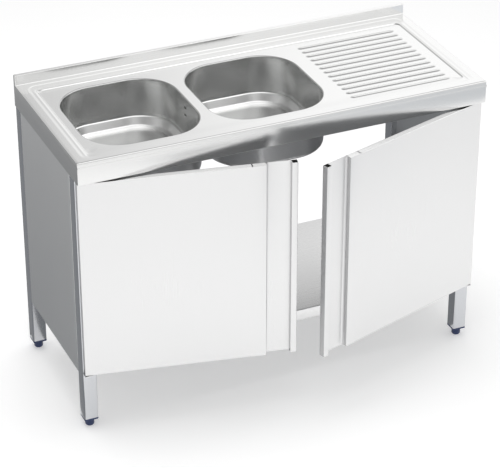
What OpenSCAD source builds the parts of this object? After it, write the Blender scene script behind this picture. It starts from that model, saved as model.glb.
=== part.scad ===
// Stainless steel sink cabinet: two bowls on the left, a ribbed drainer on the right,
// an open-backed cupboard below with two pivoting doors, on four square legs.
// The front faces -Y, and the origin is on the floor under the middle of the work surface.

/* [Cabinet] */
// Length of the worktop, left to right
length = 1200; // [1180:10:1600]
// Depth of the work surface, front edge to upstand
depth = 500; // [490:5:700]
// Height of the worktop above the floor
height = 850; // [800:5:950]

/* [Worktop] */
// Thickness of the worktop sheet
top_t = 1.2; // [0.8:0.1:2]
// Height of the skirt that hangs from the worktop's edge
apron_h = 65; // [50:1:75]
// Radius of the front nose
nose_r = 10; // [6:1:14]
// Width of the hem folded in under the front skirt
hem = 12; // [8:1:13]
// Height of the upstand along the back
upstand_h = 29; // [20:1:60]
// Thickness of the folded upstand
upstand_t = 12; // [10:1:20]
// Radius where the worktop turns up into the upstand
cove_r = 6; // [3:1:9]
// Drop of the upstand's back fold below the worktop
back_drop = 30; // [20:1:40]
// Depth of the pressed field below the border
field_drop = 3; // [1:0.5:4]
// Width of the raised border at the two sides
border_side = 25; // [20:1:32]
// Width of the raised border at the back, upstand included
border_back = 38; // [36:1:42]
// Width of the slope from border to field at the sides
slope_side = 19; // [8:1:20]
// Width of the slope from border to field at the back
slope_back = 38; // [20:1:38]
// Width of the slope behind the front nose
slope_front = 32; // [20:1:34]

/* [Bowls] */
// Width of a bowl, left to right
bowl_w = 338; // [320:1:342]
// Length of a bowl, front to back
bowl_l = 370; // [300:1:372]
// Depth of a bowl below the field
bowl_depth = 150; // [120:5:180]
// Corner radius of a bowl
bowl_r = 115; // [80:1:130]
// Thickness of the bowl sheet
bowl_t = 1; // [0.8:0.1:1.2]
// Width of the flange that is welded under the worktop
bowl_flange = 6; // [4:0.5:7]
// Distance from the worktop's left edge to the left bowl
bowl_inset = 66; // [62:1:70]
// Distance from the worktop's front edge to the bowls
bowl_front = 51.5; // [50.5:0.5:52]
// Gap between the two bowls
bowl_gap = 27; // [26:1:32]
// Radius of the round from bowl wall to floor
floor_r = 18; // [12:1:24]

/* [Drainer] */
// Number of ribs on the drainer
rib_n = 13; // [6:1:13]
// Distance between ribs
rib_pitch = 28.4; // [18:0.2:28.6]
// Width of one rib
rib_w = 12; // [8:0.5:16]
// Height of one rib
rib_h = 2.5; // [1.5:0.1:3]
// Length of the ribs
rib_l = 308; // [200:1:312]
// Distance from the worktop's right edge to the ribs
rib_inset = 78; // [70:1:80]

/* [Waste] */
// Outside radius of the strainer flange
waste_flange_r = 56; // [50:1:60]
// Outside radius of the strainer cup
cup_r = 43; // [40:0.5:44]
// Depth of the strainer cup
cup_depth = 42; // [38:1:50]
// Wall of the strainer cup
cup_t = 2; // [1.5:0.1:2.5]
// Outside radius of the waste outlet
tail_r = 23.9; // [20:0.1:24]
// Length of the waste outlet
tail_l = 35; // [25:1:45]
// Outside radius of the overflow pipe
pipe_r = 9; // [7:0.5:9]
// Distance from the field down to the middle of the overflow slots
overflow_drop = 39; // [34:1:44]

/* [Frame] */
// Side of the square leg tube
leg = 40; // [30:1:40]
// Wall of the leg tube
leg_t = 1.5; // [1:0.1:2]
// Distance from the worktop's front edge to the front legs
leg_setback = 35; // [34:1:38]
// Clearance between the worktop's skirt and the legs
leg_gap = 0.3; // [0.2:0.1:1]
// Thickness of rails and brackets
rail_t = 1.5; // [1.2:0.1:2]
// Height of the rear rail
rail_h = 60; // [50:1:62]
// Width of the rail flanges
rail_flange = 26; // [22:1:26]

/* [Feet] */
// Height of the levelling feet
foot_h = 30; // [26:1:40]
// Diameter of the foot
foot_d = 26; // [22:1:30]
// Thickness of the plastic flange under the leg
insert_t = 6; // [4:0.5:8]
// Depth of the plastic plug inside the leg
plug_h = 24; // [20:1:30]
// Diameter of the foot's stud
stud_d = 10; // [8:0.5:12]

/* [Side panels] */
// Thickness of the sheet in panels and doors
skin_t = 1; // [0.7:0.1:1.2]
// Thickness of a side panel
panel_t = 21; // [16:1:24]
// Height of the panels' lower edge above the floor
panel_bottom = 168; // [150:1:170]

/* [Shelf] */
// Height of the shelf's upper face above the floor
shelf_z = 223; // [215:1:260]
// Thickness of the shelf sheet
shelf_t = 1.2; // [0.8:0.1:1.5]
// Height of the shelf's folded edges
shelf_edge = 35; // [30:1:36]
// Distance from the legs' front to the shelf's front edge
shelf_setback = 2; // [1:0.5:4]
// Distance from the worktop's back edge to the shelf's back edge
shelf_back = 25; // [10:1:25]

/* [Doors] */
// Thickness of a door
door_t = 18; // [16:0.5:18]
// Distance from the worktop's front edge to a closed door
door_setback = 15; // [13:0.5:15.5]
// Gap between the worktop's end and a door
door_side_gap = 3; // [2.5:0.5:5]
// Half the gap between the closed doors
door_mid_gap = 7; // [3:0.5:8]
// Gap between a door and the skirt above it
door_top_gap = 4; // [4:0.5:8]
// Height of a door's lower edge above the floor
door_bottom = 187; // [186:1:190]
// Width of the recessed finger strip
strip_w = 68; // [50:1:75]
// Width of the lip along the free edge
lip_w = 17; // [12:1:20]
// Inner radius of the round between door face and finger strip
strip_r = 8; // [5:1:10]
// Length of the closing tab beside the fold
tab_l = 36; // [30:1:40]
// Opening of the left door, as photographed
left_open = 11.7; // [0:0.1:100]
// Opening of the right door, as photographed
right_open = 17.7; // [0:0.1:100]

/* [Pivots] */
// Distance from a door's hinge edge to its pivot
pivot_u = 6.5; // [6:0.1:7]
// Distance from a door's face to its pivot
pivot_v = 6; // [5.5:0.1:6.5]
// Diameter of a pivot pin
pin_d = 5; // [4:0.1:5.5]
// Diameter of a bush in the door
bush_d = 9; // [8:0.5:10]
// Radial running clearance of a pin in its bush
pin_gap = 0.05; // [0.02:0.01:0.09]
// Thickness of a pivot bracket
bracket_t = 3; // [2:0.5:4]
// Width of a pivot bracket
bracket_w = 24; // [20:1:30]

/* [Hidden] */
$fn = 64;

steel = "silver";
bright_steel = "gainsboro";
navy = "midnightblue";
dark = "dimgray";

// Reference planes
half = length / 2;
front_y = -depth / 2;
back_y = depth / 2 + upstand_t;
apron_z = height - apron_h;
field_z = height - field_drop;
under_z = field_z - top_t;

// Gap between pieces that lie close, play of screws in holes, and reach of cuts past a face
seat = 0.3;
play = 0.2;
past = 1;

// Bowls and drainer
bowl_left_x = -half + bowl_inset + bowl_w / 2;
bowl_right_x = bowl_left_x + bowl_w + bowl_gap;
bowl_y = front_y + bowl_front + bowl_l / 2;
bowl_floor = field_z - bowl_depth;
rib_x = half - rib_inset - rib_l;
rib_y = bowl_y;
rib_r = (rib_w * rib_w / 4 + rib_h * rib_h) / (2 * rib_h);

// The bowl wall ends in a small step above the round into the floor
step_h = 20;
step_in = 12;
step_path = [
  [0, floor_r + step_h], [-step_in / 3, floor_r + step_h - 5],
  [-0.75 * step_in, floor_r + 2], [-step_in, floor_r]
];
floor_in = step_in + floor_r;
floor_lap = 2;
round_steps = 6;
floor_path = concat(
  [
    for (i = [1 : round_steps])
      let (a = -90 * i / round_steps)
      [-floor_in + floor_r * cos(a), floor_r + floor_r * sin(a)]
  ],
  [[-floor_in - floor_lap, 0]]
);

// Waste
cup_bottom = bowl_floor - cup_depth;
waste_hole_r = cup_r + 2;
nut_h = 12;
gasket_t = 3;
flange_up = 2;
outlet_t = 3.5;
basket_r = cup_r - cup_t - 3;
pipe_t = 2;
pipe_gap = 1;
pipe_bend = 30;
pipe_x = bowl_left_x + bowl_w / 2 + bowl_t + pipe_gap + pipe_r;
pipe_z = cup_bottom + pipe_r + 5;
spigot_l = 12;
nozzle_l = 10;
slot_h = 14;
slot_w = 5;
slot_pitch = 22;
slot_cut = 20;
overflow_y = 8;
overflow_z = field_z - overflow_drop;
elbow_h = 50;
elbow_w = 24;
elbow_t = 2;

// Frame
leg_x = half - top_t - leg_gap - leg / 2;
leg_front_y = front_y + leg_setback + leg / 2;
leg_rear_y = back_y - top_t - leg_gap - leg / 2;
leg_in = leg_x - leg / 2;
leg_out = leg_x + leg / 2;
leg_front_face = leg_front_y - leg / 2;
rail_y = front_y + bowl_front - bowl_flange - 2 - rail_t;
rail_lip = 6;
tab_w = 26;
tab_top = under_z - 4;
rail_screw_d = 6;
rail_screw_l = 12;
rail_screw_drop = 18;
rail_screw_pitch = 28;
rail_screw_zs = [
  under_z - rail_screw_drop - rail_screw_pitch, under_z - rail_screw_drop
];
stiffener_w = 60;
stiffener_h = 20;
stiffener_foot = 14;
stiffener_end = 60;

// Feet
foot_top = foot_h - insert_t - seat;
plug_end = 3;

// Side panels and shelf
panel_front = leg_front_y + leg / 2;
panel_back = leg_rear_y - leg / 2;
panel_top = under_z - 4;
panel_in = leg_out - panel_t;
shelf_front_y = leg_front_face + shelf_setback;
shelf_back_y = back_y - shelf_back;
shelf_lip = 10;
shelf_screw_d = 5;
shelf_screw_l = 10;
shelf_screw_drop = 20;
shelf_screw_z = shelf_z - shelf_screw_drop;
shelf_screw_ys = [
  for (k = [0.15, 0.5, 0.85]) panel_front + k * (panel_back - panel_front)
];

// Doors, drawn closed with the hinge edge at u = 0 and the face at v = 0
door_w = half - door_side_gap - door_mid_gap;
door_top = apron_z - door_top_gap;
door_h = door_top - door_bottom;
face_w = door_w - strip_w - lip_w;
liner_v = door_t - skin_t;
tab_gap = 4;
pivot_x = half - door_side_gap - pivot_u;
pivot_y = front_y + door_setback + pivot_v;
bush_head_d = 12;
bush_head_t = 1;
bush_l = 10;
bracket_front = pivot_y - 7;
bracket_out = leg_out - 1;
bracket_top_z = door_top + bush_head_t + seat;
bracket_bottom_z = door_bottom - bush_head_t - seat - bracket_t;
pin_l = 12;
pin_head_d = 9;
pin_head_t = 2;
strike_w = 40;
strike_h = 14;
strike_t = 1.2;
catch_inset = 40;
catch_w = 46;
catch_x = door_mid_gap + catch_inset;
catch_z = door_top - 1 - strike_h / 2;
catch_seat = 3;
catch_front = front_y + door_setback + door_t + strike_t + seat;
catch_screw_d = 4;
catch_screw_x = catch_w / 2 - 5;
rail_bottom = catch_z - strike_h / 2 - seat - rail_t;

function unit(v) = v / norm(v);
function side_normal(a, b) = let (d = unit(b - a)) [-d[1], d[0]];
function mitred(n, m) = (n + m) / (1 + n * m);

// Points of a path moved sideways by t, with mitred corners
function moved(p, t) = [
  for (i = [0 : len(p) - 1])
    let (
      before = side_normal(p[max(i - 1, 0)], p[max(i, 1)]),
      after = side_normal(p[min(i, len(p) - 2)], p[min(i + 1, len(p) - 1)])
    )
    p[i] + t * mitred(before, after)
];
function reversed(p) = [for (i = [len(p) - 1 : -1 : 0]) p[i]];

// A box given by its two corners
module box(a, b) {
  translate(a)
    cube(b - a);
}

module ring(r_out, r_in, h) {
  difference() {
    cylinder(r = r_out, h = h);
    translate([0, 0, -past])
      cylinder(r = r_in, h = h + 2 * past);
  }
}

module rounded(w, l, r) {
  square([w, l - 2 * r], center = true);
  square([w - 2 * r, l], center = true);
  for (x = [-1, 1], y = [-1, 1])
    translate([x * (w / 2 - r), y * (l / 2 - r)])
      circle(r);
}

// A quarter of a bent sheet, between radius r - t and r, in the given quadrant
module bend(r, t, quadrant) {
  intersection() {
    difference() {
      circle(r);
      circle(r - t);
    }
    rotate(90 * quadrant)
      square(r + past);
  }
}

// A pan-head screw with its head above z = 0
module screw(d, l) {
  cylinder(d = 1.8 * d, h = 0.5 * d);
  translate([0, 0, -l])
    cylinder(d = d, h = l + 0.1);
}

// A clearance hole for a screw, along z and half to each side of z = 0
module screw_hole(d) {
  cylinder(d = d + play, h = 10, center = true);
}

// Worktop

// Section of the worktop sheet in y and z
module top_section() {
  translate([front_y, apron_z])
    square([top_t, apron_h - nose_r]);
  translate([front_y, apron_z])
    square([hem, top_t]);
  translate([front_y + nose_r, height - nose_r])
    bend(nose_r, top_t, 1);
  translate([front_y + nose_r, height - top_t])
    square([depth - nose_r - cove_r, top_t]);
  translate([back_y - upstand_t - cove_r, height + cove_r])
    bend(cove_r + top_t, top_t, 3);
  translate([back_y - upstand_t, height + cove_r])
    square([top_t, upstand_h - cove_r]);
  translate([back_y - upstand_t, height + upstand_h - top_t])
    square([upstand_t, top_t]);
  translate([back_y - top_t, height - back_drop])
    square([top_t, upstand_h + back_drop]);
}

module top_end() {
  translate([front_y, apron_z])
    square([depth + upstand_t, apron_h - nose_r]);
  translate([front_y + nose_r, apron_z])
    square([depth + upstand_t - nose_r, apron_h]);
  translate([front_y + nose_r, height - nose_r])
    circle(nose_r);
  translate([back_y - upstand_t, height - top_t])
    square([upstand_t, upstand_h + top_t]);
}

// The pressed field as a shallow tray, reaching up above the worktop by rise
module field(rise) {
  side_out = half - border_side;
  side_in = side_out - slope_side;
  front_out = front_y + nose_r;
  front_in = front_out + slope_front;
  back_out = back_y - border_back;
  back_in = back_out - slope_back;
  intersection() {
    translate([0, back_y, 0])
      rotate([90, 0, 0])
        linear_extrude(depth + upstand_t)
          polygon([
            [-side_out, rise], [-side_out, 0], [-side_in, -field_drop],
            [side_in, -field_drop], [side_out, 0], [side_out, rise]
          ]);
    translate([-half, 0, 0])
      rotate([90, 0, 90])
        linear_extrude(length)
          polygon([
            [front_out, rise], [front_out, 0], [front_in, -field_drop],
            [back_in, -field_drop], [back_out, 0], [back_out, rise]
          ]);
  }
}

module ribs(r) {
  for (i = [0 : rib_n - 1])
    translate([rib_x, rib_y + (i - (rib_n - 1) / 2) * rib_pitch, field_z + rib_h - rib_r])
      rotate([0, 90, 0])
        cylinder(r = r, h = rib_l);
}

module sink_top() {
  color(bright_steel)
    difference() {
      union() {
        translate([-half + top_t, 0, 0])
          rotate([90, 0, 90])
            linear_extrude(length - 2 * top_t)
              top_section();
        for (x = [-half, half - top_t])
          translate([x, 0, 0])
            rotate([90, 0, 90])
              linear_extrude(top_t)
                top_end();
        translate([0, 0, height - top_t])
          field(top_t);
      }
      difference() {
        translate([0, 0, height])
          field(past);
        intersection() {
          ribs(rib_r);
          box([rib_x, front_y, field_z - past], [rib_x + rib_l, back_y, height + past]);
        }
      }
      intersection() {
        ribs(rib_r - top_t);
        box([rib_x + top_t, front_y, under_z - past], [rib_x + rib_l - top_t, back_y, height]);
      }
      for (x = [bowl_left_x, bowl_right_x])
        translate([x, bowl_y, under_z - past])
          linear_extrude(top_t + field_drop + 2 * past)
            rounded(bowl_w, bowl_l, bowl_r);
    }
}

module top_stiffener() {
  color(steel)
    translate([rib_x + rib_l / 2, 0, under_z])
      channel(depth - 2 * stiffener_end);
}

// A hat-shaped channel along y, hanging from z = 0
module channel(l) {
  crown = stiffener_w / 2 - stiffener_foot;
  translate([0, l / 2, 0])
    rotate([90, 0, 0])
      linear_extrude(l) {
        for (x = [-stiffener_w / 2, crown])
          translate([x, -rail_t])
            square([stiffener_foot, rail_t]);
        for (x = [-crown - rail_t, crown])
          translate([x, -stiffener_h])
            square([rail_t, stiffener_h]);
        translate([-crown - rail_t, -stiffener_h])
          square([2 * (crown + rail_t), rail_t]);
      }
}

// Bowls

// Section of the bowl's wall, flange to floor, with x measured outwards
module bowl_section() {
  h = under_z - bowl_floor;
  inner = concat([[0, h]], step_path, floor_path);
  outer = moved(inner, bowl_t);
  skirt = [for (i = [len(outer) - 1 : -1 : 1]) outer[i]];
  polygon(concat(
    inner,
    skirt,
    [[bowl_t, h - bowl_t], [bowl_flange, h - bowl_t], [bowl_flange, h]]
  ));
}

module bowl_quarter(half_x, half_y) {
  translate([half_x - bowl_r, half_y - bowl_r, 0])
    rotate_extrude(angle = 90)
      translate([bowl_r, 0])
        bowl_section();
  translate([half_x, half_y - bowl_r, 0])
    rotate([90, 0, 0])
      linear_extrude(2 * (half_y - bowl_r))
        bowl_section();
}

module bowl_shell() {
  for (turn = [0, 180])
    rotate(turn)
      bowl_quarter(bowl_w / 2, bowl_l / 2);
  for (turn = [90, 270])
    rotate(turn)
      bowl_quarter(bowl_l / 2, bowl_w / 2);
  translate([0, 0, -bowl_t])
    linear_extrude(bowl_t)
      difference() {
        rounded(bowl_w - 2 * floor_in, bowl_l - 2 * floor_in, bowl_r - floor_in);
        circle(waste_hole_r);
      }
}

module overflow_slots() {
  for (z = [-slot_pitch / 2, slot_pitch / 2])
    translate([0, 0, z])
      rotate([0, 90, 0])
        linear_extrude(slot_cut, center = true) {
          square([slot_h - slot_w, slot_w], center = true);
          for (end = [-1, 1])
            translate([end * (slot_h - slot_w) / 2, 0])
              circle(slot_w / 2);
        }
}

module bowl_left() {
  color(bright_steel)
    difference() {
      translate([bowl_left_x, bowl_y, bowl_floor])
        bowl_shell();
      translate([bowl_left_x + bowl_w / 2, bowl_y + overflow_y, overflow_z])
        overflow_slots();
    }
}

module bowl_right() {
  color(bright_steel)
    translate([bowl_right_x, bowl_y, bowl_floor])
      bowl_shell();
}

// Wastes and overflow

module waste_body_left() {
  color(steel)
    translate([bowl_left_x, bowl_y, bowl_floor])
      difference() {
        union() {
          waste_shape();
          translate([cup_r - cup_t - past, overflow_y, pipe_z - bowl_floor])
            rotate([0, 90, 0])
              cylinder(r = pipe_r, h = spigot_l + cup_t + past);
        }
        translate([cup_r - 2 * cup_t - past, overflow_y, pipe_z - bowl_floor])
          rotate([0, 90, 0])
            cylinder(r = pipe_r - pipe_t, h = spigot_l + 2 * (cup_t + past));
      }
}

module waste_body_right() {
  color(steel)
    translate([bowl_right_x, bowl_y, bowl_floor])
      waste_shape();
}

// Strainer cup with its flange on the bowl floor and its threaded outlet below
module waste_shape() {
  tail_top = -cup_depth;
  difference() {
    union() {
      cylinder(r = waste_flange_r, h = flange_up / 2);
      cylinder(r1 = waste_flange_r, r2 = cup_r + 4, h = flange_up);
      translate([0, 0, tail_top])
        cylinder(r = cup_r, h = cup_depth + flange_up / 2);
      translate([0, 0, tail_top - tail_l])
        cylinder(r = tail_r, h = tail_l + cup_t / 2);
    }
    translate([0, 0, tail_top + cup_t])
      cylinder(r = cup_r - cup_t, h = cup_depth + flange_up);
    translate([0, 0, tail_top - tail_l - past])
      cylinder(r = tail_r - outlet_t, h = tail_l + cup_t + 2 * past);
  }
}

module waste_gaskets() {
  color(dark)
    for (x = [bowl_left_x, bowl_right_x])
      translate([x, bowl_y, bowl_floor - bowl_t - gasket_t])
        ring(waste_flange_r - 3, cup_r + play, gasket_t);
}

module waste_nuts() {
  lugs = 8;
  lug_w = 6;
  color("white")
    for (x = [bowl_left_x, bowl_right_x])
      translate([x, bowl_y, bowl_floor - bowl_t - gasket_t - nut_h])
        difference() {
          union() {
            cylinder(r = waste_flange_r - 4, h = nut_h);
            for (i = [0 : lugs - 1])
              rotate(360 * i / lugs)
                box([waste_flange_r - 8, -lug_w / 2, 0], [waste_flange_r, lug_w / 2, nut_h - 2]);
          }
          translate([0, 0, -past])
            cylinder(r = cup_r + play, h = nut_h + 2 * past);
        }
}

// Lift-out strainer basket: pierced floor, low wall, stem and knob
module waste_basket(x) {
  wall_h = 22;
  wall_t = 1.2;
  stem_r = 3;
  knob_r = 9;
  knob_t = 3;
  flare = 4;
  knob_z = cup_depth - cup_t - 2 * knob_t;
  hole_d = 4;
  hole_rings = [[12, 6], [20, 12], [28, 18]];
  color(bright_steel)
    translate([x, bowl_y, cup_bottom + cup_t + seat]) {
      difference() {
        cylinder(r = basket_r, h = wall_h);
        translate([0, 0, wall_t])
          cylinder(r = basket_r - wall_t, h = wall_h);
        for (row = hole_rings, i = [1 : row[1]])
          rotate(360 * i / row[1])
            translate([row[0], 0, -past])
              cylinder(d = hole_d, h = wall_t + 2 * past);
      }
      cylinder(r = stem_r, h = knob_z);
      translate([0, 0, knob_z - flare])
        cylinder(r1 = stem_r, r2 = knob_r, h = flare);
      translate([0, 0, knob_z])
        cylinder(r = knob_r, h = knob_t);
    }
}

// A box behind the slots, open towards the bowl, with a nozzle below
module overflow_elbow() {
  reach = pipe_r + pipe_gap;
  color("white")
    translate([pipe_x, bowl_y + overflow_y, overflow_z])
      difference() {
        union() {
          box([-reach, -elbow_w / 2, -elbow_h / 2], [reach, elbow_w / 2, elbow_h / 2]);
          translate([0, 0, -elbow_h / 2 - nozzle_l])
            cylinder(r = pipe_r, h = nozzle_l + elbow_t);
        }
        box(
          [-reach - past, -elbow_w / 2 + elbow_t, -elbow_h / 2 + elbow_t],
          [reach - elbow_t, elbow_w / 2 - elbow_t, elbow_h / 2 - elbow_t]
        );
        translate([0, 0, -elbow_h / 2 - nozzle_l - past])
          cylinder(r = pipe_r - pipe_t, h = nozzle_l + elbow_t + 2 * past);
      }
}

// The overflow pipe runs down between the bowls and turns towards the strainer
module overflow_pipe() {
  top = overflow_z - elbow_h / 2 - nozzle_l;
  bend_z = pipe_z + pipe_bend;
  run_end = bowl_left_x + cup_r + spigot_l;
  color("white")
    translate([0, bowl_y + overflow_y, 0]) {
      translate([pipe_x, 0, bend_z])
        ring(pipe_r, pipe_r - pipe_t, top - bend_z);
      translate([pipe_x - pipe_bend, 0, bend_z])
        rotate([90, 0, 0])
          rotate([0, 0, -90])
            rotate_extrude(angle = 90)
              translate([pipe_bend, 0])
                difference() {
                  circle(pipe_r);
                  circle(pipe_r - pipe_t);
                }
      translate([run_end, 0, pipe_z])
        rotate([0, 90, 0])
          ring(pipe_r, pipe_r - pipe_t, pipe_x - pipe_bend - run_end);
    }
}

// Frame

module leg_tube(x, y) {
  inward = x > 0 ? -1 : 1;
  color(steel)
    difference() {
      box([x - leg / 2, y - leg / 2, foot_h], [x + leg / 2, y + leg / 2, under_z]);
      box(
        [x - leg / 2 + leg_t, y - leg / 2 + leg_t, foot_h - past],
        [x + leg / 2 - leg_t, y + leg / 2 - leg_t, under_z + past]
      );
      for (z = rail_screw_zs)
        translate([x + inward * leg / 2, y, z])
          rotate([0, 90, 0])
            screw_hole(rail_screw_d);
    }
}

// End tab of a rail against the leg, with its two screw holes
module rail_tab(y0, y1, screw_y) {
  difference() {
    box([leg_in - rail_t, y0, under_z - rail_h], [leg_in, y1, tab_top]);
    for (z = rail_screw_zs)
      translate([leg_in, screw_y, z])
        rotate([0, 90, 0])
          screw_hole(rail_screw_d);
  }
}

module front_rail() {
  color(steel)
    difference() {
      union() {
        box([-leg_in, rail_y, rail_bottom], [leg_in, rail_y + rail_t, under_z]);
        box([-leg_in, rail_y - rail_flange, under_z - rail_t], [leg_in, rail_y + rail_t, under_z]);
        box([-leg_in, rail_y - rail_lip, rail_bottom], [leg_in, rail_y + rail_t, rail_bottom + rail_t]);
        for (side = [0, 1])
          mirror([side, 0, 0])
            rail_tab(rail_y, rail_y + tab_w, leg_front_y);
      }
      for (side = [-1, 1], end = [-1, 1])
        translate([side * catch_x + end * catch_screw_x, rail_y, catch_z])
          rotate([90, 0, 0])
            screw_hole(catch_screw_d);
    }
}

module rear_rail() {
  web_y = back_y - top_t - leg_gap - rail_t;
  color(steel) {
    box([-leg_in, web_y, under_z - rail_h], [leg_in, web_y + rail_t, under_z]);
    for (z = [under_z - rail_h, under_z - rail_t])
      box([-leg_in, web_y - rail_flange, z], [leg_in, web_y + rail_t, z + rail_t]);
    for (side = [0, 1])
      mirror([side, 0, 0])
        rail_tab(web_y - rail_flange, web_y, leg_rear_y);
  }
}

module rail_screws() {
  color(steel)
    for (side = [0, 1], y = [leg_front_y, leg_rear_y], z = rail_screw_zs)
      mirror([side, 0, 0])
        translate([leg_in - rail_t, y, z])
          rotate([0, -90, 0])
            screw(rail_screw_d, rail_screw_l);
}

// Feet

module foot_insert(x, y) {
  plug = leg - 2 * leg_t - play;
  color(navy)
    translate([x, y, foot_h])
      difference() {
        union() {
          box([-leg / 2, -leg / 2, -insert_t], [leg / 2, leg / 2, 0]);
          box([-plug / 2, -plug / 2, -insert_t / 2], [plug / 2, plug / 2, plug_h]);
        }
        translate([0, 0, -insert_t - past])
          cylinder(r = stud_d / 2 + pin_gap, h = insert_t + plug_h - plug_end + past);
      }
}

module levelling_foot(x, y) {
  chamfer = 4;
  color(navy)
    translate([x, y, 0]) {
      cylinder(d1 = foot_d - 6, d2 = foot_d, h = chamfer);
      translate([0, 0, chamfer])
        cylinder(d = foot_d, h = foot_top - chamfer);
      translate([0, 0, foot_top])
        cylinder(d = stud_d, h = insert_t + seat + plug_h - 2 * plug_end);
    }
}

// Side panels

module side_panel() {
  color(steel)
    difference() {
      box([panel_in, panel_front, panel_bottom], [leg_out, panel_back, panel_top]);
      box(
        [panel_in - past, panel_front + skin_t, panel_bottom + skin_t],
        [leg_out - skin_t, panel_back - skin_t, panel_top - skin_t]
      );
    }
}

module side_liner() {
  color(steel)
    difference() {
      box([panel_in - skin_t, panel_front, panel_bottom], [panel_in, panel_back, panel_top]);
      for (y = shelf_screw_ys)
        translate([panel_in, y, shelf_screw_z])
          rotate([0, 90, 0])
            screw_hole(shelf_screw_d);
    }
}

// Shelf

module bottom_shelf() {
  wide = panel_in - skin_t;
  narrow = leg_in - seat;
  edge_z = shelf_z - shelf_edge;
  color(steel)
    difference() {
      union() {
        box([-narrow, shelf_front_y, shelf_z - shelf_t], [narrow, shelf_back_y, shelf_z]);
        box([-wide, panel_front + seat, shelf_z - shelf_t], [wide, panel_back - seat, shelf_z]);
        for (y = [shelf_front_y, shelf_back_y - shelf_t])
          box([-narrow, y, edge_z], [narrow, y + shelf_t, shelf_z]);
        box([-narrow, shelf_front_y, edge_z], [narrow, shelf_front_y + shelf_lip, edge_z + shelf_t]);
        box([-narrow, shelf_back_y - shelf_lip, edge_z], [narrow, shelf_back_y, edge_z + shelf_t]);
        for (x = [-wide, wide - shelf_t])
          box([x, panel_front + seat, edge_z], [x + shelf_t, panel_back - seat, shelf_z]);
      }
      for (side = [0, 1], y = shelf_screw_ys)
        mirror([side, 0, 0])
          translate([wide, y, shelf_screw_z])
            rotate([0, 90, 0])
              screw_hole(shelf_screw_d);
    }
}

module shelf_stiffener() {
  middle = (shelf_front_y + shelf_back_y) / 2;
  color(steel)
    translate([0, middle, shelf_z - shelf_t])
      rotate(90)
        channel(2 * leg_in - stiffener_end);
}

module shelf_screws() {
  color(steel)
    for (side = [0, 1], y = shelf_screw_ys)
      mirror([side, 0, 0])
        translate([panel_in - skin_t - shelf_t, y, shelf_screw_z])
          rotate([0, -90, 0])
            screw(shelf_screw_d, shelf_screw_l);
}

// Pivots and catches, drawn on the right and mirrored to the left

module pivot_bracket(z) {
  color(steel)
    difference() {
      box([bracket_out - bracket_w, bracket_front, z], [bracket_out, leg_front_face, z + bracket_t]);
      translate([pivot_x, pivot_y, z - past])
        cylinder(d = pin_d, h = bracket_t + 2 * past);
    }
}

module pivot_pins() {
  color(bright_steel)
    translate([pivot_x, pivot_y, 0]) {
      translate([0, 0, bracket_top_z + bracket_t])
        pivot_pin();
      translate([0, 0, bracket_bottom_z])
        mirror([0, 0, 1])
          pivot_pin();
    }
}

// A headed pin that reaches down through the bracket into the bush
module pivot_pin() {
  cylinder(d = pin_head_d, h = pin_head_t);
  translate([0, 0, -bracket_t - pin_l])
    cylinder(d = pin_d, h = bracket_t + pin_l + 0.1);
}

module catch() {
  depth_y = rail_y - catch_front;
  color(dark)
    difference() {
      translate([catch_x - catch_w / 2, catch_front, catch_z - strike_h / 2])
        cube([catch_w, depth_y, strike_h]);
      for (end = [-1, 1])
        translate([catch_x + end * catch_screw_x, rail_y, catch_z])
          rotate([90, 0, 0]) {
            screw_hole(catch_screw_d);
            translate([0, 0, catch_seat])
              cylinder(d = 2 * catch_screw_d, h = depth_y);
          }
    }
}

module catch_screws() {
  color(steel)
    for (side = [-1, 1], end = [-1, 1])
      translate([side * catch_x + end * catch_screw_x, rail_y - catch_seat, catch_z])
        rotate([90, 0, 0])
          screw(catch_screw_d, 2 * catch_seat + rail_t);
}

// Doors

// Folded sheet in plan: hinge edge, face, finger strip and lip
module door_section() {
  strip_u = face_w + strip_r;
  lip_u = door_w - lip_w;
  strip_v = liner_v - skin_t;
  square([skin_t, liner_v]);
  square([face_w, skin_t]);
  translate([face_w - skin_t, 0])
    square([skin_t, strip_v - strip_r]);
  translate([strip_u, strip_v - strip_r])
    bend(strip_r + skin_t, skin_t, 1);
  translate([strip_u, strip_v])
    square([lip_u + skin_t - strip_u, skin_t]);
  translate([lip_u, 0])
    square([skin_t, liner_v]);
  translate([lip_u, 0])
    square([lip_w, skin_t]);
  translate([door_w - skin_t, 0])
    square([skin_t, liner_v]);
}

module door_skin() {
  flange_l = face_w - tab_l - tab_gap;
  color(bright_steel)
    difference() {
      union() {
        translate([0, 0, door_bottom])
          linear_extrude(door_h)
            door_section();
        for (z = [door_bottom, door_top - skin_t])
          box([0, 0, z], [flange_l, liner_v, z + skin_t]);
      }
      translate([pivot_u, pivot_v, door_bottom - past])
        cylinder(d = bush_d, h = door_h + 2 * past);
    }
}

module door_liner() {
  color(steel)
    box([0, liner_v, door_bottom], [door_w, door_t, door_top]);
}

// Small plates that close the door's end beside the fold
module door_tabs() {
  color(steel)
    for (z = [door_bottom, door_top - skin_t])
      box([face_w - skin_t - tab_l, skin_t, z], [face_w - skin_t, liner_v, z + skin_t]);
}

module pivot_bushes() {
  color("black")
    translate([pivot_u, pivot_v, 0]) {
      translate([0, 0, door_top])
        pivot_bush();
      translate([0, 0, door_bottom])
        mirror([0, 0, 1])
          pivot_bush();
    }
}

module pivot_bush() {
  difference() {
    union() {
      cylinder(d = bush_head_d, h = bush_head_t);
      translate([0, 0, -bush_l])
        cylinder(d = bush_d, h = bush_l + bush_head_t / 2);
    }
    translate([0, 0, -bush_l - past])
      cylinder(r = pin_d / 2 + pin_gap, h = bush_l + bush_head_t + 2 * past);
  }
}

module strike_plate() {
  color(steel)
    box(
      [door_w - catch_inset - strike_w / 2, door_t, catch_z - strike_h / 2],
      [door_w - catch_inset + strike_w / 2, door_t + strike_t, catch_z + strike_h / 2]
    );
}

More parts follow.
